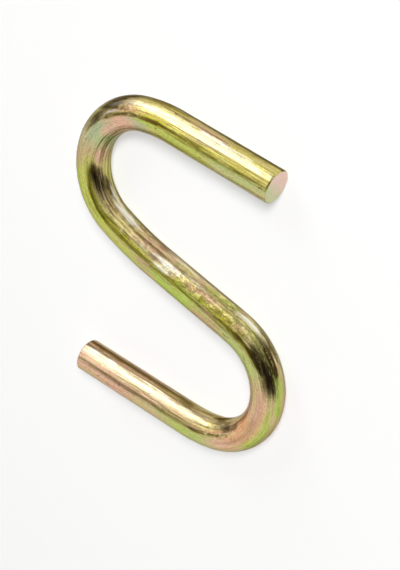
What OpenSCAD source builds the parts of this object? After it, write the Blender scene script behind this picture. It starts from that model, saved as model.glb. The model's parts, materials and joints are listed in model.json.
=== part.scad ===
// S hook bent from one length of round steel rod.
// It lies on its side: the S is drawn in the XY plane, the shank runs along Y, the upper hook opens
// towards -Y on the +X side, and the rod rests on Z = 0. The origin is below the middle of the box.

/* [Rod] */
// Diameter of the round rod
rod_d = 11.1; // [6:0.1:14]
// Radius that rounds the rim of each cut end
rim_r = 0.6; // [0.2:0.1:1.5]
// How much the rod thins, in radius, at each of the two steps into a bend
thinning = 0.02; // [0.01:0.01:0.06]

/* [Bending tool] */
// Radius of the pin that both hooks are bent round, to the inside of the rod
pin_r = 15.4; // [10:0.1:30]
// Radius to the middle of the rod where a bend eases out into its tail
tail_ease_r = 42; // [25:1:90]
// Radius to the middle of the rod where a bend eases out into the shank
shank_ease_r = 104; // [60:1:160]

/* [Shank] */
// Straight length between the two hooks
shank_len = 30; // [10:1:100]

/* [Upper hook] */
// Turn of the easing next to the shank, in degrees
upper_shank_ease_a = 11.5; // [1:0.5:18]
// Turn round the pin, in degrees
upper_pin_a = 143; // [120:1:150]
// Turn of the easing next to the tail, in degrees
upper_tail_ease_a = 17; // [1:0.5:24]
// Straight length of the tail, to its cut end
upper_tail = 39; // [20:0.5:60]

/* [Lower hook] */
// Turn of the easing next to the shank, in degrees
lower_shank_ease_a = 2; // [1:0.5:12]
// Turn round the pin, in degrees
lower_pin_a = 153; // [120:1:162]
// Turn of the easing next to the tail, in degrees
lower_tail_ease_a = 14; // [1:0.5:24]
// Straight length of the tail, to its cut end
lower_tail = 44.5; // [20:0.5:60]

/* [Hidden] */
$fn = 96;

rod_r = rod_d / 2;
ease_rod_r = rod_r - thinning;
pin_rod_r = rod_r - 2 * thinning;
bend_r = pin_r + rod_r;
// How far a thinner stretch runs on inside its thicker neighbour
lap = 0.3;

// One hook, walked from the shank to its tail, as bends of [radius, turn] that all go to the right
upper_bends = [[shank_ease_r, upper_shank_ease_a], [bend_r, upper_pin_a], [tail_ease_r, upper_tail_ease_a]];
lower_bends = [[shank_ease_r, lower_shank_ease_a], [bend_r, lower_pin_a], [tail_ease_r, lower_tail_ease_a]];

// Where the walk stands after its first n bends, as [x, y, heading], the heading turning right from +Y
function after(bends, n) = n == 0 ? [0, shank_len / 2, 0] : bent(after(bends, n - 1), bends[n - 1]);
function bent(at, bend) = [
    at[0] + bend[0] * (cos(at[2]) - cos(at[2] + bend[1])),
    at[1] + bend[0] * (sin(at[2] + bend[1]) - sin(at[2])),
    at[2] + bend[1]
];

// How far a hook reaches from the shank's middle: along the shank, over the bend round the pin,
// and across it, to the rounded rim of the tail's cut end
function reach_along(bends) =
    let (at = after(bends, 1))
    at[1] + bend_r * (1 - sin(at[2])) + pin_rod_r;
function reach_across(bends, tail) =
    let (at = after(bends, 3), open = 180 - at[2])
    at[0] + (tail - rim_r) * sin(open) + (rod_r - rim_r) * cos(open) + rim_r;

middle_x = (reach_across(upper_bends, upper_tail) - reach_across(lower_bends, lower_tail)) / 2;
middle_y = (reach_along(upper_bends) - reach_along(lower_bends)) / 2;

module s_hook() {
    color("#b9a552")
    translate([-middle_x, -middle_y, rod_r]) {
        shank();
        hook(upper_bends, upper_tail);
        rotate([0, 0, 180]) hook(lower_bends, lower_tail);
    }
}

// The straight middle, along Y
module shank() {
    rotate([90, 0, 0]) cylinder(h = shank_len, r = rod_r, center = true);
}

// The bends and the tail of one hook, which leaves the shank towards +Y and turns to the right
module hook(bends, tail) {
    stand_at(after(bends, 0)) bend(bends[0], ease_rod_r, lap, 0);
    stand_at(after(bends, 1)) bend(bends[1], pin_rod_r, lap, lap);
    stand_at(after(bends, 2)) bend(bends[2], ease_rod_r, 0, lap);
    stand_at(after(bends, 3)) rod_end(tail);
}

// Moves what follows to a point of the walk, facing along its heading
module stand_at(at) {
    translate([at[0], at[1], 0]) rotate([0, 0, -at[2]]) children();
}

// An arc of rod that starts at the origin towards +Y and turns right, run on by a lap at either end
module bend(bend, section_r, lap_before, lap_after) {
    before = lap_before / bend[0] * 180 / PI;
    beyond = lap_after / bend[0] * 180 / PI;
    translate([bend[0], 0, 0])
        rotate_extrude(start = 180 - bend[1] - beyond, angle = before + bend[1] + beyond)
            translate([bend[0], 0]) circle(section_r);
}

// A straight tail along +Y, turned about its own axis from a profile with a rounded rim
module rod_end(length) {
    rotate([-90, 0, 0])
        rotate_extrude() {
            square([rod_r, length - rim_r]);
            square([rod_r - rim_r, length]);
            intersection() {
                translate([rod_r - rim_r, length - rim_r]) circle(rim_r);
                square([rod_r, length]);
            }
        }
}

s_hook();
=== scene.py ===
"""A bent steel S hook in iridescent yellow zinc plate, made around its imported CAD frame."""
import json
import math

import bmesh
import bpy
from bpy.props import FloatProperty, FloatVectorProperty, IntProperty, PointerProperty
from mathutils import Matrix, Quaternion, Vector


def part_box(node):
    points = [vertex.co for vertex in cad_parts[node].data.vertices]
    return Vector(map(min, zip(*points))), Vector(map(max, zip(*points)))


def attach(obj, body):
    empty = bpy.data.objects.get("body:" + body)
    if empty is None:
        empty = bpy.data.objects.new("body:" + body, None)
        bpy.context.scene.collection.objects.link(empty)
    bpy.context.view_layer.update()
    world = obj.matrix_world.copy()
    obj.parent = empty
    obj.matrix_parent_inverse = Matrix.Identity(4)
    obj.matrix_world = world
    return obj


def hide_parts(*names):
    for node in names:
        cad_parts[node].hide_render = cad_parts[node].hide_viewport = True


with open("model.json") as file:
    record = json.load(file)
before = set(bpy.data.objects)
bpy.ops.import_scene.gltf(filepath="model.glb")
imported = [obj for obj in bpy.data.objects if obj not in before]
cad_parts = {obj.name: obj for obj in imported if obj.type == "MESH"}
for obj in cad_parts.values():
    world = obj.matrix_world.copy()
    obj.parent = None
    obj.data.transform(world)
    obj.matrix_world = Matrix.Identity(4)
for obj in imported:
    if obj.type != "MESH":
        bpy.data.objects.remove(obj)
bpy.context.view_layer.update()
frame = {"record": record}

bl_info = {
    "name": "S Hook",
    "version": (1, 0, 0),
    "blender": (4, 5, 0),
    "location": "View3D > Sidebar > S Hook",
    "description": "A bent steel S hook with a yellow zinc finish, lying on a pale studio floor",
    "category": "Object",
}

HOOK = "s_hook"
BODY = "root"
SLOT = frame["record"]["materials"][0]["slot"]
LOWEST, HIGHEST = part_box(HOOK)
MM = 0.001
FULL_TURN = 2 * math.pi
QUARTER_TURN = math.pi / 2
UP = (0.0, 0.0, 1.0)
LEFT = -1
RIGHT = 1

# The rod's stretches from the upper tip to the lower one: a length, or an angle with its radius and side
STRETCHES = (
    ("Upper Tail", None, None),
    ("Upper Tail Ease", "Tail Ease Radius", LEFT),
    ("Upper Pin Turn", "Pin Bend Radius", LEFT),
    ("Upper Shank Ease", "Shank Ease Radius", LEFT),
    ("Shank", None, None),
    ("Lower Shank Ease", "Shank Ease Radius", RIGHT),
    ("Lower Pin Turn", "Pin Bend Radius", RIGHT),
    ("Lower Tail Ease", "Tail Ease Radius", RIGHT),
    ("Lower Tail", None, None),
)

# Worn stretches: first and last place, and the fade beside them. A place is so many millimetres past
# the start (0) or the end (1) of one of the rod's stretches
WORN_STRETCHES = {
    "upper_pin": (("Upper Pin Turn", 0, 0), ("Upper Pin Turn", 1, 0), 6),
    "lower_pin": (("Lower Pin Turn", 0, 0), ("Lower Pin Turn", 1, 0), 6),
    "clamp": (("Shank", 0, 2.5), ("Shank", 0, 8.5), 1.5),
    "scuffed_before_shank": (("Shank", 0, -26), ("Shank", 0, -4), 6),
    "scuffed_shank": (("Shank", 0, 6), ("Shank", 1, 16), 8),
    "scuffed_upper_bend": (("Upper Pin Turn", 0, -2), ("Upper Pin Turn", 0, 14), 5),
    "scuffed_lower_bend": (("Lower Pin Turn", 1, -12), ("Lower Pin Turn", 1, 0), 5),
    "grooved": (("Shank", 0, -66), ("Shank", 0, 0), 10),
}

# Sides of the rod, in degrees round it: 0 is to the right on the way from the upper tip to the lower
# one, and 90 is on top as the hook lies. Angles run from the bottom, at -90, round to it again
INSIDE_UPPER_BEND = 180
INSIDE_LOWER_BEND = 0
CLAMPED_SIDE = 140.5
SCUFFED_SIDE = 158
SCUFFED_TOP = 52
GROOVED_SIDE = 164
FIRST_ANGLE = -90
LAST_ANGLE = 270

# Which way the side with the thinner film looks, and the cosines at which it starts and is full
THIN_SIDE = (0.94, 0.19, 0.28)
THIN_START = 0.30
THIN_FULL = 0.55

# The least cosine of the angle from a flat's middle, so that the flat stays on its side of the rod
LEAST_COSINE = 0.2

# A mark is full out to this part of its half sizes, and gone at the other
MARK_FULL = 0.5
MARK_GONE = 1.4

# The part of the rod's length that each cut face takes
FACE_SHARE = 0.0004

# How far the finish's roughness strays from its middle, downwards and upwards
ROUGHNESS_SPREAD = (-0.03, 0.08)

# Points nearer to each other than this are welded, in metres
WELD_DISTANCE = 1e-6

# Smooth noises in the rod's own space: scale, detail, roughness, stretch along the rod, and shift
NOISES = {
    # The rod's shape
    "waves": (90, 1.0, 0.4, 0.35, (0.3, 0, 0)),
    "rolls": (420, 2.0, 0.55, 0.28, (0, 0, 0)),
    "uneven": (450, 3.0, 0.6, 0.4, (0.4, 0, 0)),
    # The film's bands
    "drift": (55, 1.5, 0.5, 0.8, (0.1, 0.2, 0.3)),
    "ragged": (330, 4.0, 0.6, 0.5, (0, 0, 0)),
    "stripes": (420, 3.0, 0.6, 0.06, (0.3, 0.3, 0)),
    "tone": (800, 3.0, 0.6, 0.035, (0.1, 0.6, 0)),
    "clouds": (170, 4.0, 0.6, 0.4, (0.7, 0, 0)),
    "face_clouds": (200, 1.0, 0.4, 1, (0, 0.05, 0.3)),
    # Wear and dirt
    "grain": (1100, 4.0, 0.7, 0.05, (0, 0.9, 0)),
    "satin": (2400, 2.0, 0.6, 0.5, (0.8, 0, 0)),
    "specks": (800, 2.0, 0.5, 0.6, (0, 0.2, 0.6)),
    "patches": (320, 3.0, 0.6, 0.5, (0.9, 0.4, 0)),
    "flakes": (760, 4.0, 0.65, 0.5, (0.5, 0, 0)),
    "cracks": (480, 3.0, 0.6, 0.7, (0.5, 0, 0)),
    # Relief and polish
    "die_lines": (1100, 1.0, 0.5, 0.012, (0, 0, 0.8)),
    "lines": (1500, 3.0, 0.6, 0.02, (0, 0, 0)),
    "streaks": (600, 3.0, 0.6, 0.05, (0.2, 0, 0)),
    "peel": (500, 2.0, 0.5, 0.3, (0, 0, 0.5)),
    "scuffs": (800, 4.0, 0.65, 0.6, (0, 0.4, 0)),
    "blur": (800, 3.0, 0.6, 0.1, (0.9, 0, 0)),
}

# How the film's colour runs along the rod: part of the rod's length, and colour
FILM = (
    (0.00, "sage"), (0.07, "sage"), (0.11, "olive"), (0.165, "olive"), (0.187, "teal"),
    (0.210, "pink"), (0.232, "pink"), (0.252, "teal"), (0.285, "tan"), (0.31, "olive"),
    (0.42, "olive"), (0.44, "tan"), (0.46, "tan"), (0.48, "green"), (0.53, "green"),
    (0.548, "tan"), (0.57, "tan"), (0.59, "sage"), (0.635, "sage"), (0.665, "tan"), (0.70, "pink"),
    (0.785, "pink"), (0.81, "sage"), (0.84, "green"), (0.87, "sage"), (0.90, "pink"), (1.00, "pink"),
)

# The same along the side where the film is thinner
THIN_FILM = (
    (0.00, "gold"), (0.06, "gold"), (0.09, "tan"), (0.13, "gold"), (0.18, "gold"), (0.21, "tan"),
    (0.36, "tan"), (0.39, "gold"), (0.41, "zinc"), (0.43, "pink"), (0.465, "pink"), (0.485, "zinc"),
    (0.51, "gold"), (0.535, "pink"), (0.56, "sage"), (0.59, "gold"), (0.61, "tan"), (0.66, "tan"),
    (0.78, "tan"), (0.81, "gold"), (0.84, "tan"), (0.90, "pink"), (0.94, "tan"), (1.00, "pink"),
)

# Layers of colour over the film, from the lowest up: the field that shapes one, the values at which
# it starts and is full, its strength, the field that it keeps to, and its colour
FILM_LAYERS = (
    ("clouds", 0.50, 0.66, 0.35, None, "pink"),
    ("clouds", 0.48, 0.34, 0.35, None, "green"),
)
THIN_LAYERS = (
    ("tone", 0.52, 0.60, 0.35, None, "zinc"),
    ("tone", 0.47, 0.40, 0.35, None, "stain_and_shade"),
)
# Layers over both films: wear, stains and specks, and the marks that paint shade, dark reflections,
# highlights and glints
WEAR_AND_PAINTED_LIGHT_LAYERS = (
    ("mossed", 0, 1, 1, None, "moss"),
    ("greened", 0, 1, 1, None, "green"),
    ("coppered", 0, 1, 1, None, "copper"),
    ("pinked", 0, 1, 1, None, "pink"),
    ("grain", 0.53, 0.62, 0.4, "worn", "zinc"),
    ("grain", 0.47, 0.39, 0.7, "worn", "stain_and_shade"),
    ("grooves", 1, 0, 0.9, "grooved", "stain_and_shade"),
    ("satin", 0.5, 0.7, 0.2, None, "zinc"),
    ("satin", 0.5, 0.3, 0.25, None, "stain_and_shade"),
    ("specks", 0.68, 0.74, 0.7, None, "stain_and_shade"),
    # Painted dark reflection lines and painted shade, with brown stain streaks
    ("stained", 0, 1, 1, None, "stain_and_shade"),
    ("patches", 0.54, 0.60, 0.5, "scuffed", "pink"),
    ("patches", 0.45, 0.38, 0.5, "scuffed", "olive"),
    ("flakes", 0.54, 0.59, 0.8, "scuffed", "flake_and_glint"),
    # Pale gold scuffs, partly painted glints
    ("gilded", 0, 1, 1, None, "flake_and_glint"),
    ("flakes", 0.43, 0.38, 0.6, "scuffed", "stain_and_shade"),
    # Painted dark reflections and painted shade
    ("blackened", 0, 1, 1, None, "painted_dark"),
    ("crackle", 0.012, 0.0, 0.5, "scuffed", "flake_and_glint"),
    # Bare zinc, and painted highlights and glints
    ("bare", 0, 1, 1, None, "bare"),
)

# The fine relief: a field, its height in millimetres, and the field that it keeps to
RELIEF = (
    ("lines", 0.12, None),
    ("streaks", 0.28, None),
    ("peel", 0.04, None),
    ("grooves", 0.05, "grooved"),
    ("scuffs", 0.30, "scuffed"),
)

# Marks in the film, some of them painted shade, dark reflections and highlights: millimetres from the upper
# tip, angle round the rod, half length, half width, strength
MARKS = {
    # Rubbed through to bare zinc, and painted highlights: the whiter parts of the tails' highlights, the
    # white patch on the clamped flat and white glints on the shank
    "bare": (
        (20, 27, 10, 4, 0.6), (24, 42, 32, 12, 0.3), (59.5, 66, 3, 4, 0.7), (101, 184, 9, 6, 0.7),
        (106, 172, 7, 10, 1.0), (118, 135, 3, 4, 0.5), (128, 119, 4, 6, 0.9),
        (129.5, 141, 5.2, 11, 1.0), (134, 182, 7, 6, 0.5), (140, 156, 5, 4, 0.5), (160, 175, 5, 9, 1.0),
        (238, 23, 26, 4, 0.5), (242, 42, 30, 12, 0.2), (262, 24, 8, 4, 0.4),
    ),
    # Scuffed to a pale gold, and painted glints on the scuffed shank and at the upper bend
    "gilded": (
        (52, 33, 3, 6, 0.4), (84, 178, 4, 6, 0.5), (97, 124, 5, 5, 0.5), (103, 145, 5, 5, 0.6),
        (106, 131, 4, 5, 0.8), (110, 147, 5, 5, 0.7), (112, 134, 3, 4, 0.8), (114, 162, 4, 6, 0.4),
        (136, 172, 4, 7, 0.5), (138, 150, 3, 7, 0.7), (150, 142, 4, 4, 0.5),
    ),
    # Brown stain streaks, with painted dark reflection lines along the tails, the shank and the bends, and
    # painted shade along the rods' edges
    "stained": (
        (6, 60, 4, 2.5, 0.4), (10, 77, 9, 4, 0.6), (12, 7, 9, 2.5, 0.4), (13, 63, 5, 3, 0.4),
        (20, -14, 40, 13, 0.75), (22, 55, 28, 3, 0.4), (24, 79, 7, 4, 0.55), (24, 85, 26, 3, 0.3),
        (29, 68, 6, 3, 0.5), (36, 13, 9, 3, 0.4), (36, 125, 12, 4, 0.4), (38, 77, 9, 4, 0.65),
        (44, 60, 5, 3, 0.5), (46, 79, 5, 5, 0.6), (48, 3, 6, 10, 0.5), (50, 72, 4, 5, 0.4),
        (54, 79, 12, 6, 1.0), (57.5, 40, 2.5, 6, 0.7), (57.5, 52, 3, 12, 0.5), (57.5, 56, 3, 4, 0.5),
        (62, 58, 3, 7, 0.5), (63, 72, 3, 5, 0.5), (70, 70, 3, 6, 0.5), (78, 151, 5, 3.5, 0.5),
        (92, 164, 6, 10, 0.35), (93, 108, 6, 5, 0.4), (116, 106, 20, 3.5, 0.55), (123, 128, 4, 6, 0.4),
        (128, 158, 8, 5, 0.35), (130, 207, 45, 9, 0.7), (137, 160, 5, 7, 0.4), (142, 107, 10, 3, 0.4),
        (148, 131, 12, 9, 0.6), (159, 111, 9, 6, 0.7), (166, 112, 5, 6, 0.4), (190, 86, 4, 6, 0.3),
        (195, 98, 12, 12, 0.25), (197, 168, 12, 8, 0.4), (200, 152, 10, 10, 0.3), (205, 28, 3, 10, 0.7),
        (208.5, 69, 6, 4, 0.9), (209, 4, 4, 12, 0.85), (210, 70, 8, 5, 0.6), (216, 75, 6, 4, 0.6),
        (226, 76, 10, 4, 0.5), (240, 16, 24, 3, 0.35), (240, 53, 30, 2.5, 0.35),
        (249, -2, 39, 11, 0.65), (252, 76, 18, 5, 0.5),
    ),
    # Painted dark reflections, most of them in the bends, and painted shade along the tails' top edges and
    # the shank's inner edge
    "blackened": (
        (20, -17, 40, 9, 0.8), (53, -10, 4, 14, 0.9), (55.5, 8, 4, 14, 0.95), (58, 24, 3.5, 12, 0.95),
        (60, 52, 2.5, 8, 0.6), (60.5, 42, 3.5, 10, 1.0), (65, 56, 3, 10, 0.65), (66.5, 72, 3.5, 9, 0.8),
        (84.5, 129, 4, 11, 1.0), (90, 163, 3, 9, 0.6), (94, 178, 5, 12, 0.7), (125, 200, 42, 5, 0.6),
        (168, 130, 5, 12, 0.8), (168, 188, 5, 8, 0.8), (169, 117, 5, 8, 0.6), (169, 164, 6, 12, 0.8),
        (170, 112, 4, 8, 0.5), (172, 163, 4, 13, 0.7), (175, 133, 4, 10, 0.6), (204, 54, 2.5, 8, 0.7),
        (205, 42, 3, 10, 0.75), (208, 21, 3.5, 12, 0.7), (210, 6, 3, 10, 0.8), (249, -6, 39, 8, 0.65),
    ),
    # Deep olive film
    "mossed": (
        (24, 69, 28, 6, 0.5), (26, 80, 26, 5, 0.8), (46, 80, 6, 12, 0.9), (98, 106, 10, 4, 0.5),
        (106, 111, 22, 14, 1.0), (120, 117, 10, 8, 0.5), (138, 111, 12, 13, 1.0),
        (149, 130, 14, 14, 1.0), (158, 111, 12, 12, 0.9),
    ),
    # Green film
    "greened": (
        (46, 91, 5, 8, 0.6), (127, 92, 4, 12, 0.4), (140, 112, 7, 10, 0.55), (141, 91, 7, 12, 0.6),
        (142, 124, 6, 5, 0.5), (152, 176, 8, 12, 0.6), (172, 150, 5, 8, 0.5), (181, 162, 9, 18, 0.8),
        (186, 174, 8, 10, 0.4), (188, 74, 10, 6, 0.4), (192, 132, 10, 17, 0.7), (196, 166, 10, 10, 0.4),
        (198, 147, 9, 12, 0.55), (200, 118, 6, 8, 0.5),
    ),
    # Pink film
    "pinked": (
        (24, 12, 9, 10, 0.5), (60, 76, 3, 4, 0.3), (62, 120, 7, 18, 0.7), (76, 138, 5, 6, 0.7),
        (81, 150, 7, 20, 0.5), (98, 147, 5, 8, 0.6), (113, 144, 5, 9, 0.7), (118, 156, 8, 16, 0.9),
        (124, 178, 6, 12, 0.7), (146, 143, 5, 9, 0.9), (149, 108, 4, 9, 0.4), (216, 66, 6, 8, 0.4),
    ),
    # Copper film
    "coppered": (
        (52, 62, 5, 8, 0.6), (56, 56, 4, 14, 0.9), (120, 166, 5, 6, 0.5), (194, 108, 12, 16, 0.4),
        (198, 66, 9, 26, 0.9), (207, 61, 3.5, 10, 1.0), (210, 68, 5, 8, 0.9), (245, 8, 30, 7, 0.4),
    ),
}

# Upright screens: name, level, part of it, azimuth, distance, edges seen from the hook, and whether it
# lights the floor. The edges are the left, right, lowest and highest angle
LAMPS = (
    ("key_softbox", "key_level", 0.25, 140, 2.8, (-20, 20, 0, 44), True),
    ("key_core", "key_level", 0.75, 138, 2.7, (-15, 15, 3, 40), True),
    ("brow_screen", "brow_level", 0.4, 160, 3.1, (-30, 24, 45, 66), False),
    ("high_screen", "brow_level", 0.82, 160, 3.0, (-34, 37, 45, 76), False),
    ("near_brow", "brow_level", 0.75, 105, 3.1, (-30, 26, 44, 63), False),
    ("end_screen", "brow_level", 0.6, 175, 3.2, (-19, 17, 5, 47), False),
    ("dusk_screen", "brow_level", 0.2, 188, 3.4, (-27, 27, 0, 68), False),
    ("side_screen", "side_level", 0.4, 92, 3.3, (-26, 26, 0, 45), False),
    ("side_core", "side_level", 0.5, 98, 3.2, (-20, 20, 10, 45), False),
    ("side_strip", "side_level", 0.9, 97, 3.1, (-19.5, 19.5, 25.5, 30.5), False),
    ("lee_screen", "side_level", 0.3, 61, 3.3, (-19, 19, 0, 60), False),
    ("fill_screen", "fill_level", 1.0, 272, 1.2, (-65, 60, 0, 71.5), False),
    ("fill_wing", "fill_level", 1.0, 345, 2.34, (-13, 12.5, 0, 57), False),
)

# The screen overhead and the lamp that throws the shadow: width, height and place, in metres
TOP_SCREEN = (2.6, 2.0, (0.9, -0.4, 3.0))
SHADE_LAMP_SIDE = 0.6
SHADE_LAMP_DISTANCE = 2.2

FLOOR_CORNERS = 96
FLOOR_DROP = 0.01 * MM
FLOOR_ROUGHNESS = 0.45
SENSOR_WIDTH = 36
NEAREST_SEEN = 0.01


def length(name, description, millimetres):
    """A length property, given in millimetres."""
    return FloatProperty(
        name=name, description=description, default=millimetres * MM, min=0, precision=5, unit="LENGTH"
    )


def point(name, description, *millimetres):
    """A property for a place, given in millimetres."""
    corner = [part * MM for part in millimetres]
    return FloatVectorProperty(
        name=name, description=description, default=corner, precision=5, subtype="TRANSLATION", unit="LENGTH"
    )


def angle(name, description, degrees):
    """An angle property, given in degrees."""
    return FloatProperty(
        name=name, description=description, default=math.radians(degrees), unit="ROTATION"
    )


def colour(name, description, red, green, blue):
    """A colour property, in linear light."""
    return FloatVectorProperty(
        name=name, description=description, default=(red, green, blue), min=0, max=1, subtype="COLOR"
    )


def factor(name, description, value, high=1.0):
    """A plain number property."""
    return FloatProperty(name=name, description=description, default=value, min=0, max=high)


def count(name, description, value, low):
    """A whole number property."""
    return IntProperty(name=name, description=description, default=value, min=low)


class RodSizes(bpy.types.PropertyGroup):
    """The rod, and the turns that it takes through the bending tool."""

    rod_diameter: length("Rod Diameter", "Across the drawn rod", (HIGHEST.z - LOWEST.z) / MM)
    rim_radius: length("Rim Radius", "Rounding of the cut ends' rims", 0.6)
    pin_bend_radius: length("Pin Bend Radius", "Centreline of the bend round the tool's pin", 20.95)
    tail_ease_radius: length("Tail Ease Radius", "Centreline of the wide bend before each tail", 42)
    shank_ease_radius: length("Shank Ease Radius", "Centreline of the wide bend at the shank", 104)
    upper_tail: length("Upper Tail", "Straight end of the upper hook", 39)
    upper_tail_ease: angle("Upper Tail Ease", "Turn of the wide bend at the upper tail", 17)
    upper_pin_turn: angle("Upper Pin Turn", "Turn round the pin in the upper hook", 143)
    upper_shank_ease: angle("Upper Shank Ease", "Turn of the wide bend above the shank", 11.5)
    shank: length("Shank", "Straight stretch between the two hooks", 30)
    lower_shank_ease: angle("Lower Shank Ease", "Turn of the wide bend below the shank", 2)
    lower_pin_turn: angle("Lower Pin Turn", "Turn round the pin in the lower hook", 153)
    lower_tail_ease: angle("Lower Tail Ease", "Turn of the wide bend at the lower tail", 14)
    lower_tail: length("Lower Tail", "Straight end of the lower hook", 44.5)
    pin_flat: length("Pin Flat", "How deep the pin pressed the inside of each bend", 0.10)
    clamp_flat: length("Clamp Flat", "How deep the clamp pressed the shank", 0.10)
    scuff_depth: length("Scuff Depth", "Height of the rolling and scuffing on the shank", 0.07)
    waviness: length("Waviness", "Height of the drawn surface's long waves", 0.02)
    path_steps: count("Path Steps", "Steps along the centreline", 1600, 100)
    rows: count("Rows", "Rows of faces from tip to tip", 900, 100)
    columns: count("Columns", "Faces round the rod", 96, 12)
    face_rows: count("Face Rows", "Rows across each cut face", 8, 1)
    rim_rows: count("Rim Rows", "Rows round each rim", 8, 1)


class FinishColours(bpy.types.PropertyGroup):
    """The yellow zinc film's colours and polish, with the colours of its painted shade, dark reflections,
    highlights and glints.
    """

    gold: colour("Gold", "Thin film", 0.60, 0.50, 0.12)
    olive: colour("Olive", "Film between gold and green", 0.49, 0.53, 0.11)
    moss: colour("Moss", "Deep olive film", 0.54, 0.53, 0.03)
    sage: colour("Sage", "Pale green film", 0.46, 0.52, 0.19)
    teal: colour("Teal", "Cool green film", 0.37, 0.47, 0.27)
    green: colour("Green", "Thick film", 0.42, 0.54, 0.10)
    pink: colour("Pink", "Thickest film", 0.68, 0.41, 0.29)
    tan: colour("Tan", "Film between pink and green", 0.52, 0.40, 0.20)
    zinc: colour("Zinc", "Where rubbing has thinned the film", 0.76, 0.67, 0.38)
    # Bare also paints highlights and glints
    bare: colour("Bare", "Where the film is rubbed through", 0.88, 0.84, 0.70)
    # Stain also colours the painted shade and painted dark reflection lines
    stain_and_shade: colour("Stain", "Dark stains and specks in the film", 0.13, 0.08, 0.015)
    # Black is the colour of the painted dark reflections and painted shade
    painted_dark: colour("Black", "Darkest stains", 0.06, 0.038, 0.010)
    # Flake also paints glints
    flake_and_glint: colour("Flake", "Gold-white of the scuffs", 0.90, 0.78, 0.34)
    copper: colour("Copper", "Orange band of the film", 0.70, 0.37, 0.19)
    face_green: colour("Face Green", "Film on one side of a cut face", 0.66, 0.68, 0.42)
    face_pink: colour("Face Pink", "Film on the other side of a cut face", 0.88, 0.66, 0.58)
    rim_tint: colour("Rim Tint", "Tint of the metal where it is seen at a slant", 0.60, 0.57, 0.49)
    roughness: factor("Roughness", "Blur of the plated surface", 0.13)
    face_roughness: factor("Face Roughness", "Blur of the sheared end faces", 0.42)


class Studio(bpy.types.PropertyGroup):
    """The floor, the lamps and the camera. Azimuth 0 is the -Y side, and +X is at 90 degrees."""

    floor_colour: colour("Floor", "The floor's colour", 0.97, 0.97, 0.97)
    floor_radius: length("Floor Radius", "From the hook to the floor's edge", 8000)
    floor_glow: factor("Floor Glow", "How much of the floor's paleness is its own", 0.5)
    key_level: factor("Key Level", "Brightness of the key softbox", 3.2, 50)
    fill_level: factor("Fill Level", "Brightness of the big pale screen", 1.0, 50)
    side_level: factor("Side Level", "Brightness of the side screens", 0.95, 50)
    brow_level: factor("Brow Level", "Brightness of the screens above the key", 1.0, 50)
    top_level: factor("Top Level", "Brightness of the screen overhead", 0.4, 50)
    shade_level: factor("Shade Level", "Brightness of the lamp that throws the shadow", 47, 90)
    shade_azimuth: angle("Shade Azimuth", "Where that lamp stands round the hook", 74)
    shade_elevation: angle("Shade Elevation", "How high that lamp stands", 44)
    room_level: factor("Room Level", "Brightness of the dim room", 0.05, 50)
    room_colour: colour("Room", "The dim room's colour", 1.0, 0.85, 0.65)
    camera_azimuth: angle("Camera Azimuth", "Where the camera stands round the hook", 62.04)
    camera_elevation: angle("Camera Elevation", "How far down the camera looks", 46.44)
    camera_roll: angle("Camera Roll", "Turn of the camera about its own axis", -119.07)
    camera_distance: length("Camera Distance", "From the camera to where it aims", 487.9)
    camera_aim: point("Camera Aim", "Where the camera aims", 4.03, -7.46, 5.55)
    camera_lens: factor("Lens", "Focal length in millimetres", 98.92, 500)


class Field:
    """A node's output that can stand in a sum: each operation adds a Math node."""

    def __init__(self, graph, socket):
        self.graph = graph
        self.socket = socket

    def __add__(self, other):
        return self.graph.math("ADD", self, other)

    def __sub__(self, other):
        return self.graph.math("SUBTRACT", self, other)

    def __rsub__(self, other):
        return self.graph.math("SUBTRACT", other, self)

    def __mul__(self, other):
        return self.graph.math("MULTIPLY", self, other)

    def __truediv__(self, other):
        return self.graph.math("DIVIDE", self, other)

    __radd__ = __add__
    __rmul__ = __mul__


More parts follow.
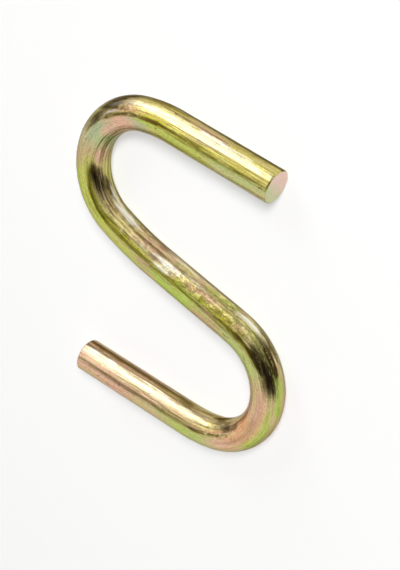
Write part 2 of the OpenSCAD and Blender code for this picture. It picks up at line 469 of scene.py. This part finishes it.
class Graph:
    """Adds nodes to a geometry or shader tree and wires them up."""

    def __init__(self, tree):
        self.tree = tree

    def add(self, kind, inputs=None, **options):
        """Adds a node, sets its options, and feeds its inputs with numbers or other nodes' outputs."""
        node = self.tree.nodes.new(kind)
        for name, value in options.items():
            setattr(node, name, value)
        for name, value in (inputs or {}).items():
            socket = node.inputs[name]
            if isinstance(value, Field):
                self.tree.links.new(value.socket, socket)
            else:
                socket.default_value = value
        return node

    def out(self, node, name=0):
        """One output of a node, as a Field."""
        return Field(self, node.outputs[name])

    def math(self, operation, *values):
        """A Math node on one, two or three values."""
        return self.out(self.add("ShaderNodeMath", dict(enumerate(values)), operation=operation))

    def vector_math(self, operation, *values, result="Vector"):
        """A Vector Math node."""
        node = self.add("ShaderNodeVectorMath", dict(enumerate(values)), operation=operation)
        return self.out(node, result)

    def scaled(self, vector, amount):
        """A vector times a number."""
        node = self.add("ShaderNodeVectorMath", {0: vector, "Scale": amount}, operation="SCALE")
        return self.out(node, "Vector")

    def combine(self, x, y, z):
        """A vector from its three parts."""
        return self.out(self.add("ShaderNodeCombineXYZ", {0: x, 1: y, 2: z}))

    def separate(self, vector):
        """The three parts of a vector."""
        node = self.add("ShaderNodeSeparateXYZ", {0: vector})
        return [self.out(node, part) for part in "XYZ"]

    def ramp(self, value, start, stop, low=0.0, high=1.0, smooth=False):
        """Carries value from start..stop over to low..high, and holds it there."""
        kind = "SMOOTHSTEP" if smooth else "LINEAR"
        ends = {0: value, 1: start, 2: stop, 3: low, 4: high}
        return self.out(self.add("ShaderNodeMapRange", ends, interpolation_type=kind, clamp=True))

    def window(self, value, start, stop, edge):
        """1 between start and stop, fading to 0 over the edge outside them."""
        rise = self.ramp(value, start - edge, start, smooth=True)
        fall = self.ramp(value, stop, stop + edge, 1.0, 0.0, smooth=True)
        return rise * fall

    def noise(self, space, name):
        """One of the named noises, from 0 to 1."""
        scale, detail, roughness, stretch, shift = NOISES[name]
        if stretch != 1:
            space = self.vector_math("MULTIPLY", space, (stretch, 1, 1))
        if shift != (0, 0, 0):
            space = self.vector_math("ADD", space, shift)
        sockets = {"Vector": space, "Scale": scale, "Detail": detail, "Roughness": roughness}
        return self.out(self.add("ShaderNodeTexNoise", sockets), "Fac")


# ---------------------------------------------------------------- the rod's geometry


def settings_of(group):
    """The properties of a group that a user can change, as (identifier, property) pairs."""
    own = group.bl_rna.properties
    return [(key, own[key]) for key in own.keys() if key not in ("rna_type", "name")]


def named_sockets(tree, group):
    """Gives the tree an input for each property of the group, one for the finish, and its output."""
    sockets = {"FLOAT": "NodeSocketFloat", "INT": "NodeSocketInt"}
    for key, setting in settings_of(group):
        socket = tree.interface.new_socket(
            setting.name, in_out="INPUT", socket_type=sockets[setting.type]
        )
        socket.default_value = getattr(group, key)
    tree.interface.new_socket("Finish", in_out="INPUT", socket_type="NodeSocketMaterial")
    tree.interface.new_socket("Geometry", in_out="OUTPUT", socket_type="NodeSocketGeometry")


def walk_centreline(graph, given):
    """Walks the rod's centreline stretch by stretch. Returns it, its length and each stretch's ends."""
    steps = given("Path Steps")
    edge = 0.0
    ends = {}
    for name, radius, _ in STRETCHES:
        start = edge
        edge = (given(name) * given(radius) if radius else given(name)) + start
        ends[name] = (start, edge)
    step = edge / steps
    index = graph.out(graph.add("GeometryNodeInputIndex"))
    middle = (index + 0.5) * step
    heading = math.pi
    for name, _, side in STRETCHES:
        if side == LEFT:
            heading = heading + given(name)
    for name, radius, side in STRETCHES:
        if radius:
            heading = heading + graph.ramp(middle, *ends[name], 0.0, given(name) * side)
    stride = graph.combine(
        graph.math("SINE", heading) * step, graph.math("COSINE", heading) * step, 0.0
    )
    walked = graph.add("GeometryNodeAccumulateField", data_type="FLOAT_VECTOR")
    graph.tree.links.new(stride.socket, walked.inputs[0])
    line = graph.add("GeometryNodeMeshLine", {"Count": steps + 1})
    placed = graph.add(
        "GeometryNodeSetPosition",
        {"Geometry": graph.out(line), "Position": graph.out(walked, "Trailing")},
    )
    curve = graph.add("GeometryNodeMeshToCurve", {"Mesh": graph.out(placed)})
    return graph.out(curve), edge, ends


def turned_section(graph, given, row, rod_length):
    """The rod as a lathe would see it: distance from the upper tip, and radius, of each row."""
    rows, face, rim = given("Rows"), given("Face Rows"), given("Rim Rows")
    rim_radius = given("Rim Radius")
    rod_radius = given("Rod Diameter") / 2
    cap = face + rim
    near_tip = graph.math("MINIMUM", row, rows - row)
    across = graph.ramp(near_tip, 0.0, face)
    rounded = graph.ramp(near_tip, face, cap, 0.0, QUARTER_TURN)
    radius = across * (rod_radius - rim_radius) + rim_radius * graph.math("SINE", rounded)
    first_rim = graph.ramp(row, face, cap, 0.0, QUARTER_TURN)
    last_rim = graph.ramp(row, rows - cap, rows - face, QUARTER_TURN, 0.0)
    body = graph.ramp(row, cap, rows - cap, 0.0, rod_length - rim_radius * 2)
    rims = 1 - graph.math("COSINE", first_rim) + graph.math("COSINE", last_rim)
    return body + rims * rim_radius, radius


class Rod:
    """The fields of the rod while it is still a flat grid: where each point is along and round it."""

    def __init__(self, graph, given, along, around, radius, ends):
        self.graph = graph
        self.given = given
        self.along = along
        self.around = around
        self.radius = radius
        self.ends = ends
        self.cosine = graph.math("COSINE", around)
        self.sine = graph.math("SINE", around)
        self.space = graph.combine(along, radius * self.cosine, radius * self.sine)

    def worn(self, name):
        """1 along one of the worn stretches, fading to 0 beside it."""
        *places, fade = WORN_STRETCHES[name]
        first, last = (self.ends[stretch][end] + past * MM for stretch, end, past in places)
        return self.graph.window(self.along, first, last, fade * MM)

    def side(self, middle, start, full):
        """How nearly the skin looks towards a side: 0 up to the start's cosine, 1 from the full one."""
        cosine = self.graph.math("COSINE", self.around - math.radians(middle))
        return self.graph.ramp(cosine, start, full, smooth=True)

    def scuffed(self):
        """How scuffed the rod is: the clamped side of the shank, and the top where the bends start."""
        before = self.worn("scuffed_before_shank") * 0.6
        beside = self.worn("scuffed_shank") * 0.85
        shank = self.graph.math("MAXIMUM", before, beside) * self.side(SCUFFED_SIDE, 0.60, 0.90)
        bends = self.worn("scuffed_upper_bend") + self.worn("scuffed_lower_bend")
        return shank + bends * self.side(SCUFFED_TOP, 0.80, 0.95) * 0.5

    def grooved(self):
        """How grooved the rod is by the drawing die: most on the inside of the upper bend."""
        return self.worn("grooved") * self.side(GROOVED_SIDE, 0.60, 0.88)

    def pressed(self, radius, depth, stretch, middle):
        """The radius where something flat has pressed one side of a stretch of the rod to a depth."""
        cosine = self.graph.math("COSINE", self.around - math.radians(middle))
        depth = self.given(depth) * self.worn(stretch)
        flat = (radius - depth) / self.graph.math("MAXIMUM", cosine, LEAST_COSINE)
        return self.graph.math("MINIMUM", radius, flat)

    def worked(self, scuffed):
        """The radius with the marks that drawing, clamping and bending left on the rod."""
        radius = self.pressed(self.radius, "Pin Flat", "upper_pin", INSIDE_UPPER_BEND)
        radius = self.pressed(radius, "Pin Flat", "lower_pin", INSIDE_LOWER_BEND)
        radius = self.pressed(radius, "Clamp Flat", "clamp", CLAMPED_SIDE)
        rolls = self.graph.noise(self.space, "rolls") - 0.5
        waves = self.graph.noise(self.space, "waves") - 0.5
        worked = radius + rolls * scuffed * self.given("Scuff Depth") + waves * self.given("Waviness")
        share = self.graph.ramp(self.radius, 0.0, self.given("Rod Diameter") / 2)
        return self.radius + (worked - self.radius) * share

    def marked(self, spot, uneven, marks):
        """A mask with a soft, uneven spot for each mark of a kind."""
        total = 0.0
        for middle, turn, half_length, half_width, strength in marks:
            size = (1 / (half_length * MM), 1 / math.radians(half_width), 0.0)
            shift = (-middle / half_length, -turn / half_width, 0.0)
            off = self.graph.vector_math("MULTIPLY_ADD", spot, size, shift)
            off = self.graph.vector_math("LENGTH", off, result="Value") + uneven
            total = self.graph.ramp(off, MARK_GONE, MARK_FULL, 0.0, strength, smooth=True) + total
        return self.graph.math("MINIMUM", total, 1.0)

    def masks(self):
        """The mask of each kind of mark, by name."""
        first, last = math.radians(FIRST_ANGLE), math.radians(LAST_ANGLE)
        turn = self.graph.math("WRAP", self.around, last, first)
        spot = self.graph.combine(self.along, turn, 0.0)
        uneven = self.graph.noise(self.space, "uneven") * 2.0 - 1.0
        return {kind: self.marked(spot, uneven, marks) for kind, marks in MARKS.items()}


def grid_of_skin(graph, given):
    """The rod's skin as a flat grid, with each point's row and its angle round the rod."""
    rows, columns = given("Rows"), given("Columns")
    grid = graph.add(
        "GeometryNodeMeshGrid",
        {"Size X": rows, "Size Y": FULL_TURN, "Vertices X": rows + 1, "Vertices Y": columns + 1},
    )
    x, y, _ = graph.separate(graph.out(graph.add("GeometryNodeInputPosition")))
    return graph.out(grid, "Mesh"), x + rows / 2, y + math.pi


def stored(graph, geometry, notes):
    """Stores each note on the geometry's points, under its name."""
    for name, (kind, value) in notes.items():
        note = {"Geometry": geometry, "Name": name, "Value": value}
        node = graph.add("GeometryNodeStoreNamedAttribute", note, data_type=kind, domain="POINT")
        geometry = graph.out(node)
    return geometry


def centred(graph, given, geometry):
    """Moves the rod so that it lies on the floor, with the middle of its box over the origin."""
    box = graph.add("GeometryNodeBoundBox", {"Geometry": geometry})
    corners = graph.vector_math("ADD", graph.out(box, "Min"), graph.out(box, "Max"))
    shift_x, shift_y, _ = graph.separate(graph.scaled(corners, -0.5))
    shift = graph.combine(shift_x, shift_y, given("Rod Diameter") / 2)
    return graph.out(graph.add("GeometryNodeSetPosition", {"Geometry": geometry, "Offset": shift}))


def rod_tree(sizes):
    """The Geometry Nodes tree that walks the rod's centreline and lays its skin round it."""
    tree = bpy.data.node_groups.new("bend_rod", "GeometryNodeTree")
    tree.is_modifier = True
    named_sockets(tree, sizes)
    graph = Graph(tree)
    entry = graph.add("NodeGroupInput")

    def given(name):
        return graph.out(entry, name)

    path, rod_length, ends = walk_centreline(graph, given)
    skin, row, around = grid_of_skin(graph, given)
    along, radius = turned_section(graph, given, row, rod_length)
    rod = Rod(graph, given, along, around, radius, ends)
    scuffed = rod.scuffed()

    sample = graph.add("GeometryNodeSampleCurve", {"Curves": path, "Length": along}, mode="LENGTH")
    side = graph.vector_math("CROSS_PRODUCT", graph.out(sample, "Tangent"), UP)
    side = graph.vector_math("NORMALIZE", side)
    upwards = graph.combine(0.0, 0.0, rod.sine)
    spoke = graph.vector_math("ADD", graph.scaled(side, rod.cosine), upwards)
    reach = graph.scaled(spoke, rod.worked(scuffed))
    spot = graph.vector_math("ADD", graph.out(sample, "Position"), reach)

    towards_thin = graph.vector_math("DOT_PRODUCT", spoke, THIN_SIDE, result="Value")
    notes = {
        "rod_space": ("FLOAT_VECTOR", rod.space),
        "rod_share": ("FLOAT", along / rod_length),
        "scuffed": ("FLOAT", scuffed),
        "grooved": ("FLOAT", rod.grooved()),
        "thin_side": ("FLOAT", graph.ramp(towards_thin, THIN_START, THIN_FULL, smooth=True)),
    }
    notes |= {kind: ("FLOAT", mask) for kind, mask in rod.masks().items()}
    skin = stored(graph, skin, notes)
    skin = graph.out(graph.add("GeometryNodeSetPosition", {"Geometry": skin, "Position": spot}))
    weld = {"Geometry": skin, "Distance": WELD_DISTANCE}
    skin = graph.out(graph.add("GeometryNodeMergeByDistance", weld))
    skin = graph.out(graph.add("GeometryNodeSetShadeSmooth", {"Geometry": skin}))
    skin = centred(graph, given, skin)
    skin = graph.out(graph.add("GeometryNodeRealizeInstances", {"Geometry": skin}))
    dress = {"Geometry": skin, "Material": given("Finish")}
    skin = graph.out(graph.add("GeometryNodeSetMaterial", dress))
    leave = graph.add("NodeGroupOutput")
    tree.links.new(skin.socket, leave.inputs[0])
    return tree


def face_outwards(mesh):
    """Turns every face of a closed mesh to look outwards."""
    shell = bmesh.new()
    shell.from_mesh(mesh)
    bmesh.ops.recalc_face_normals(shell, faces=shell.faces)
    if any(len(edge.link_faces) != 2 for edge in shell.edges):
        raise RuntimeError(f"{mesh.name} is not closed")
    shell.to_mesh(mesh)
    shell.free()


def solid_from_tree(name, tree, settings, material):
    """Runs a Geometry Nodes tree on an empty mesh and returns its result as a plain mesh object."""
    maker = bpy.data.objects.new(name + "_maker", bpy.data.meshes.new(name + "_maker"))
    bpy.context.scene.collection.objects.link(maker)
    modifier = maker.modifiers.new("bend_rod", "NODES")
    modifier.node_group = tree
    values = {setting.name: getattr(settings, key) for key, setting in settings_of(settings)}
    values["Finish"] = material
    for socket in tree.interface.items_tree:
        if socket.in_out == "INPUT":
            modifier[socket.identifier] = values[socket.name]
    bpy.context.view_layer.update()
    evaluated = maker.evaluated_get(bpy.context.evaluated_depsgraph_get())
    mesh = bpy.data.meshes.new_from_object(evaluated)
    maker.modifiers.clear()
    bpy.data.objects.remove(maker)
    if not mesh.polygons:
        raise RuntimeError(f"the tree made no faces for {name}")
    mesh.name = name
    face_outwards(mesh)
    piece = bpy.data.objects.new(name, mesh)
    bpy.context.scene.collection.objects.link(piece)
    return piece


# ---------------------------------------------------------------- the finish


def opaque(red_green_blue):
    """A colour with full alpha."""
    return (*red_green_blue, 1)


def mixed(graph, amount, first, second):
    """Two colours mixed by an amount."""
    node = graph.add("ShaderNodeMix", {0: amount, 6: first, 7: second}, data_type="RGBA")
    return graph.out(node, 2)


def banded(graph, share, table, colours):
    """A colour that runs along the rod through a table's stops."""
    bands = graph.add("ShaderNodeValToRGB", {"Fac": share})
    stops = bands.color_ramp.elements
    while len(stops) < len(table):
        stops.new(0.5)
    for stop, (position, name) in zip(stops, table):
        stop.position = position
        stop.color = opaque(getattr(colours, name))
    return graph.out(bands, "Color")


class Skin:
    """The rod's skin as its material reads it: fields by name, made when they are first asked for."""

    def __init__(self, graph):
        self.graph = graph
        self.known = {}
        self.space = self.stored("rod_space", "Vector")
        self.known["worn"] = 0.3 + self["thin_side"] * 0.7
        self.known["crackle"] = graph.math("ABSOLUTE", self["cracks"] - 0.5)
        die_lines = graph.math("ABSOLUTE", self["die_lines"] - 0.5)
        self.known["grooves"] = graph.ramp(die_lines, 0.01, 0.06)

    def stored(self, name, result="Fac"):
        """A field that the geometry's tree stored on the mesh."""
        return self.graph.out(self.graph.add("ShaderNodeAttribute", attribute_name=name), result)

    def __getitem__(self, name):
        if name not in self.known:
            made = self.graph.noise(self.space, name) if name in NOISES else self.stored(name)
            self.known[name] = made
        return self.known[name]

    def kept(self, name, keeps_to):
        """A field, kept to where another one is."""
        return self[name] * self[keeps_to] if keeps_to else self[name]


def layered(graph, skin, film, layers, colours):
    """The film with layers of colour over it."""
    for shape, start, full, strength, keeps_to, name in layers:
        amount = graph.ramp(skin[shape], start, full) * strength
        if keeps_to:
            amount = amount * skin[keeps_to]
        film = mixed(graph, amount, film, opaque(getattr(colours, name)))
    return film


def film_colour(graph, skin, colours):
    """The film's colour: bands along the rod, and other ones on the side where it is thinner."""
    share = skin["rod_share"] + (skin["drift"] - 0.5) * 0.10 + (skin["ragged"] - 0.5) * 0.025
    film = banded(graph, share, FILM, colours)
    film = layered(graph, skin, film, FILM_LAYERS, colours)
    thin = banded(graph, share + (skin["stripes"] - 0.5) * 0.45, THIN_FILM, colours)
    thin = layered(graph, skin, thin, THIN_LAYERS, colours)
    return mixed(graph, skin["thin_side"] * 0.9, film, thin)


def cut_faces(graph, skin):
    """1 on the rod's two cut faces."""
    share = skin["rod_share"]
    upper = graph.ramp(share, FACE_SHARE, 0.0, smooth=True)
    return upper + graph.ramp(share, 1 - FACE_SHARE, 1.0, smooth=True)


def face_film(graph, skin, colours):
    """The colour of the cut faces: green on one side, pink on the other, with a soft slanted border."""
    _, across, upwards = graph.separate(skin.space)
    slant = across * 0.8 - upwards * 0.6 + skin["face_clouds"] * (6 * MM)
    pinkness = graph.ramp(slant, 1.0 * MM, 4.0 * MM)
    return mixed(graph, pinkness, opaque(colours.face_green), opaque(colours.face_pink))


def plated_height(skin):
    """The fine relief of the plated surface, in metres: draw lines, orange peel, grooves and scuffs."""
    return sum(skin.kept(name, keeps_to) * (height * MM) for name, height, keeps_to in RELIEF)


def zinc_finish(colours):
    """Yellow zinc plate on drawn steel: an interference film with streaks, rubs and specks, and painted
    shade, dark reflections, highlights and glints.
    """
    material = bpy.data.materials.new("yellow_zinc_plate")
    material.use_nodes = True
    tree = material.node_tree
    shader = tree.nodes["Principled BSDF"]
    graph = Graph(tree)
    skin = Skin(graph)
    faces = cut_faces(graph, skin)
    # Wear and stains, with painted shade, dark reflections, highlights and glints
    film = layered(graph, skin, film_colour(graph, skin, colours), WEAR_AND_PAINTED_LIGHT_LAYERS, colours)
    film = mixed(graph, faces, film, face_film(graph, skin, colours))
    bump = graph.add("ShaderNodeBump", {"Height": plated_height(skin), "Distance": 1.0})
    smoothest, roughest = (colours.roughness + spread for spread in ROUGHNESS_SPREAD)
    rough = graph.ramp(skin["blur"], 0.3, 0.7, smoothest, roughest)
    rough = rough + faces * (colours.face_roughness - colours.roughness)

    tree.links.new(film.socket, shader.inputs["Base Color"])
    tree.links.new(rough.socket, shader.inputs["Roughness"])
    tree.links.new(bump.outputs[0], shader.inputs["Normal"])
    shader.inputs["Metallic"].default_value = 1.0
    shader.inputs["Specular Tint"].default_value = opaque(colours.rim_tint)
    return material


# ---------------------------------------------------------------- the studio


def direction(azimuth, elevation):
    """A unit vector towards an azimuth and an elevation."""
    flat = math.cos(elevation)
    return Vector((math.sin(azimuth) * flat, -math.cos(azimuth) * flat, math.sin(elevation)))


def screen(name, width, height, level, place, facing, mirrored=True, lights_floor=False):
    """A flat lamp of one brightness, with its back along facing, for the metal, the floor or both."""
    light = bpy.data.lights.new(name, "AREA")
    light.shape = "RECTANGLE"
    light.size = width
    light.size_y = height
    light.energy = level * math.pi * width * height
    lamp = bpy.data.objects.new(name, light)
    lamp.location = place
    lamp.rotation_euler = facing
    lamp.visible_camera = False
    lamp.visible_glossy = mirrored
    lamp.visible_diffuse = lights_floor
    bpy.context.scene.collection.objects.link(lamp)


def standing_screen(name, setting, part, azimuth, distance, edges, lights_floor, studio):
    """An upright screen square to an azimuth. Its edges are angles seen from the hook."""
    first, last, lowest, highest = (distance * math.tan(math.radians(edge)) for edge in edges)
    towards = direction(math.radians(azimuth), 0.0)
    across = direction(math.radians(azimuth + 90), 0.0)
    upwards = Vector((0, 0, (lowest + highest) / 2))
    place = towards * distance + across * ((first + last) / 2) + upwards
    facing = towards.to_track_quat("Z", "Y").to_euler()
    level = getattr(studio, setting) * part
    screen(name, last - first, highest - lowest, level, place, facing, lights_floor=lights_floor)


def top_screen(studio):
    """The screen overhead."""
    width, height, place = TOP_SCREEN
    screen("top_screen", width, height, studio.top_level, place, (0, 0, 0), lights_floor=True)


def shade_lamp(studio):
    """The lamp that throws the hook's soft shadow on the floor, and that the metal doesn't mirror."""
    back = direction(studio.shade_azimuth, studio.shade_elevation)
    facing = back.to_track_quat("Z", "Y").to_euler()
    place = back * SHADE_LAMP_DISTANCE
    side = SHADE_LAMP_SIDE
    screen("shade_lamp", side, side, studio.shade_level, place, facing, mirrored=False, lights_floor=True)


def floor_finish(studio):
    """The floor's pale material. Part of its paleness is a glow that lights nothing but is seen."""
    material = bpy.data.materials.new("pale_floor")
    material.use_nodes = True
    tree = material.node_tree
    shader = tree.nodes["Principled BSDF"]
    shader.inputs["Base Color"].default_value = opaque(studio.floor_colour)
    shader.inputs["Roughness"].default_value = FLOOR_ROUGHNESS
    graph = Graph(tree)
    rays = graph.add("ShaderNodeLightPath")
    seen = graph.math("MAXIMUM", graph.out(rays, "Is Camera Ray"), graph.out(rays, "Is Glossy Ray"))
    seen = graph.math("MAXIMUM", seen, graph.out(rays, "Is Transmission Ray"))
    glow = graph.out(graph.add("ShaderNodeEmission", {"Strength": 1.0}))
    lit = graph.out(shader)
    paper = graph.add("ShaderNodeMixShader", {0: seen * studio.floor_glow, 1: lit, 2: glow})
    tree.links.new(paper.outputs[0], tree.nodes["Material Output"].inputs["Surface"])
    return material


def studio_floor(studio):
    """A round pale floor just under the hook."""
    angles = (FULL_TURN * i / FLOOR_CORNERS for i in range(FLOOR_CORNERS))
    radius = studio.floor_radius
    corners = [(radius * math.cos(turn), radius * math.sin(turn), -FLOOR_DROP) for turn in angles]
    mesh = bpy.data.meshes.new("studio_floor")
    mesh.from_pydata(corners, [], [tuple(range(FLOOR_CORNERS))])
    mesh.materials.append(floor_finish(studio))
    floor = bpy.data.objects.new("studio_floor", mesh)
    bpy.context.scene.collection.objects.link(floor)


def studio_world(studio):
    """A dim room."""
    world = bpy.data.worlds.new("room")
    world.use_nodes = True
    background = world.node_tree.nodes["Background"]
    background.inputs["Color"].default_value = opaque(studio.room_colour)
    background.inputs["Strength"].default_value = studio.room_level
    bpy.context.scene.world = world


def studio_camera(studio):
    """The camera, looking down on the hook."""
    back = direction(studio.camera_azimuth, studio.camera_elevation)
    camera = bpy.data.objects.new("camera", bpy.data.cameras.new("camera"))
    camera.data.lens = studio.camera_lens
    camera.data.sensor_width = SENSOR_WIDTH
    camera.data.clip_start = NEAREST_SEEN
    camera.location = Vector(studio.camera_aim) + back * studio.camera_distance
    turn = back.to_track_quat("Z", "Y") @ Quaternion((0, 0, 1), studio.camera_roll)
    camera.rotation_euler = turn.to_euler()
    bpy.context.scene.collection.objects.link(camera)
    bpy.context.scene.camera = camera


# ---------------------------------------------------------------- operators and panel


class SHOOK_OT_bend_rod(bpy.types.Operator):
    """Bend the plated rod into the hook, in place of its plain CAD solid"""

    bl_idname = "shook.bend_rod"
    bl_label = "Bend the Rod"

    def execute(self, context):
        sizes = context.scene.shook_rod
        finish = zinc_finish(context.scene.shook_finish)
        hook = solid_from_tree("bent_rod", rod_tree(sizes), sizes, finish)
        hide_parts(HOOK)
        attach(hook, BODY)
        return {"FINISHED"}


class SHOOK_OT_set_studio(bpy.types.Operator):
    """Set up the floor, the lamps and the camera"""

    bl_idname = "shook.set_studio"
    bl_label = "Set the Studio"

    def execute(self, context):
        studio = context.scene.shook_studio
        studio_floor(studio)
        studio_world(studio)
        for lamp in LAMPS:
            standing_screen(*lamp, studio)
        top_screen(studio)
        shade_lamp(studio)
        studio_camera(studio)
        context.scene.view_settings.view_transform = "Standard"
        return {"FINISHED"}


class SHOOK_PT_tools(bpy.types.Panel):
    """The hook's operators and settings"""

    bl_label = "S Hook"
    bl_idname = "SHOOK_PT_tools"
    bl_space_type = "VIEW_3D"
    bl_region_type = "UI"
    bl_category = "S Hook"

    def draw(self, context):
        for operator, groups in STEPS:
            box = self.layout.box()
            box.operator(operator)
            for name in groups:
                settings = getattr(context.scene, name)
                for key, _ in settings_of(settings):
                    box.prop(settings, key)


STEPS = (
    ("shook.bend_rod", ("shook_rod", "shook_finish")),
    ("shook.set_studio", ("shook_studio",)),
)
GROUPS = {"shook_rod": RodSizes, "shook_finish": FinishColours, "shook_studio": Studio}
CLASSES = (*GROUPS.values(), SHOOK_OT_bend_rod, SHOOK_OT_set_studio, SHOOK_PT_tools)


def register():
    """Registers the classes and puts their settings on the scene."""
    for item in CLASSES:
        bpy.utils.register_class(item)
    for name, group in GROUPS.items():
        setattr(bpy.types.Scene, name, PointerProperty(type=group))


def unregister():
    """Undoes register."""
    for name in GROUPS:
        delattr(bpy.types.Scene, name)
    for item in reversed(CLASSES):
        bpy.utils.unregister_class(item)


def main():
    """Makes the hook and its studio."""
    register()
    bpy.ops.shook.bend_rod()
    bpy.ops.shook.set_studio()


if __name__ == "__main__":
    main()
